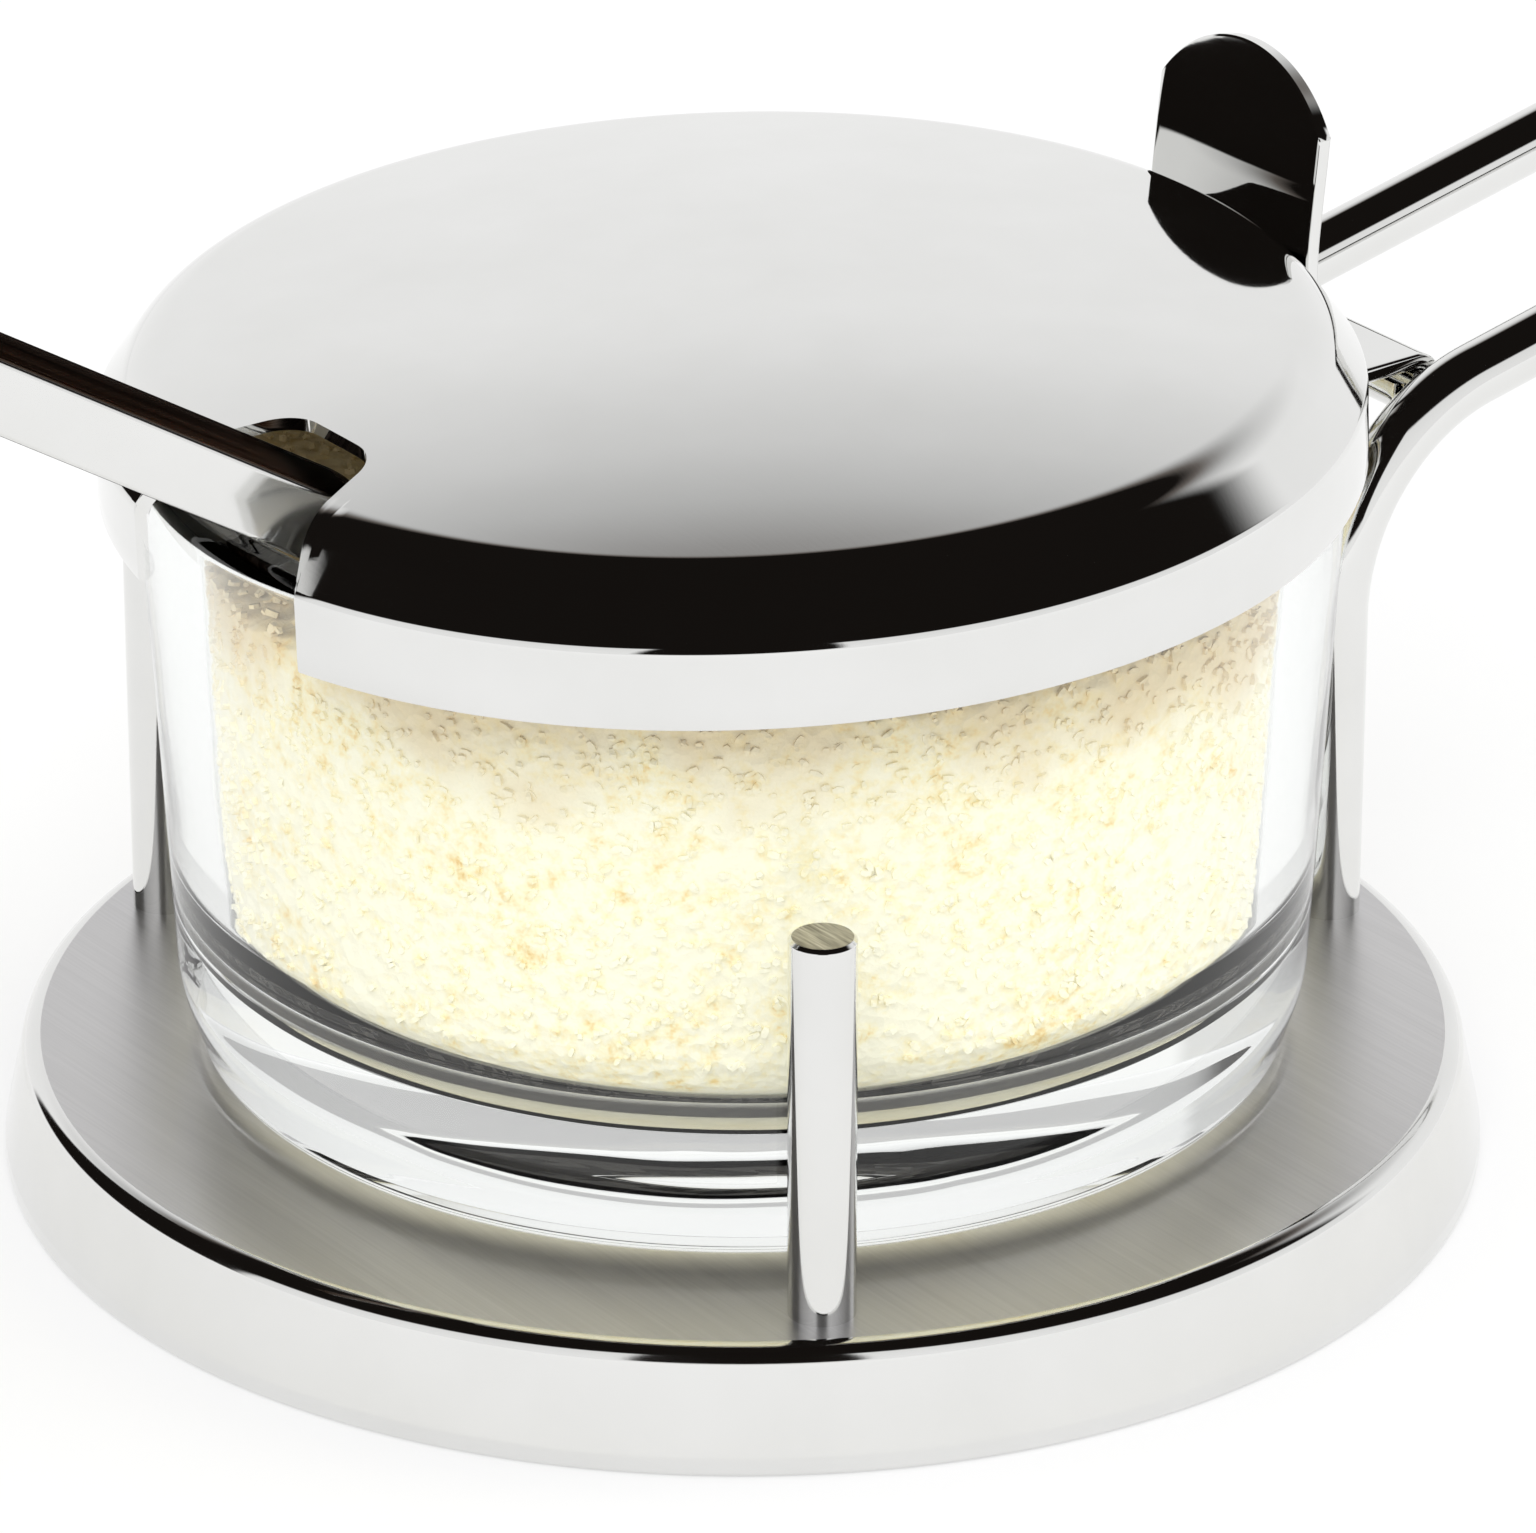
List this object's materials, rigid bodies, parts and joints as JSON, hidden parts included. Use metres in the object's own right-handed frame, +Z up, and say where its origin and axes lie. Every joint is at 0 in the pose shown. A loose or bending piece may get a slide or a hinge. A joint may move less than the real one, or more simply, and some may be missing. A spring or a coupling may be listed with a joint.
{
  "type": "cheese pot",
  "caption": "Glass cheese bowl on a round steel base with upright rods, a wire handle, a hinged domed lid with a thumb lever, and a spoon in the lid's notch.",
  "frame": {"origin": "centre of the round base on the table plane", "axes": "+Z up, +X out along the wire handle, +Y completes a right-handed frame"},
  "size_m": [0.2333, 0.12, 0.1035],
  "materials": {
    "brushed_base": "brushed top and polished skirt",
    "polished_rod": "polished steel",
    "screw_steel": "turned",
    "pin_steel": "polished steel",
    "clear_glass": "clear pressed",
    "lid_steel": "polished steel",
    "lever_steel": "polished steel",
    "spoon_steel": "brushed along the bar",
    "scoop_steel": "satin"
  },
  "bodies": {
    "stand": {"base_plate": "brushed_base", "base_screws": "screw_steel", "front_post": "polished_rod", "side_post": "polished_rod", "handle": "polished_rod", "hinge_pin": "pin_steel"},
    "lid_body": {"lid": "lid_steel", "thumb_lever": "lever_steel"},
    "bowl": {"glass_bowl": "clear_glass"},
    "spoon": {"spoon_handle": "spoon_steel", "spoon_scoop": "scoop_steel"}
  },
  "joints": [
    {"name": "lid_hinge", "type": "hinge", "parent": "stand", "child": "lid_body", "pos_m": [0.06148, 0, 0.0533], "axis": [0, 1, 0], "range_deg": [0, 100]},
    {"name": "bowl_turn", "type": "hinge", "parent": "stand", "child": "bowl", "pos_m": [0, 0, 0.0101], "axis": [0, 0, 1], "continuous": true},
    {"name": "spoon_tilt", "type": "hinge", "parent": "stand", "child": "spoon", "pos_m": [-0.0436, 0.002, 0.0615], "axis": [0.3584, 0.9336, 0], "range_deg": [0, 5]}
  ]
}
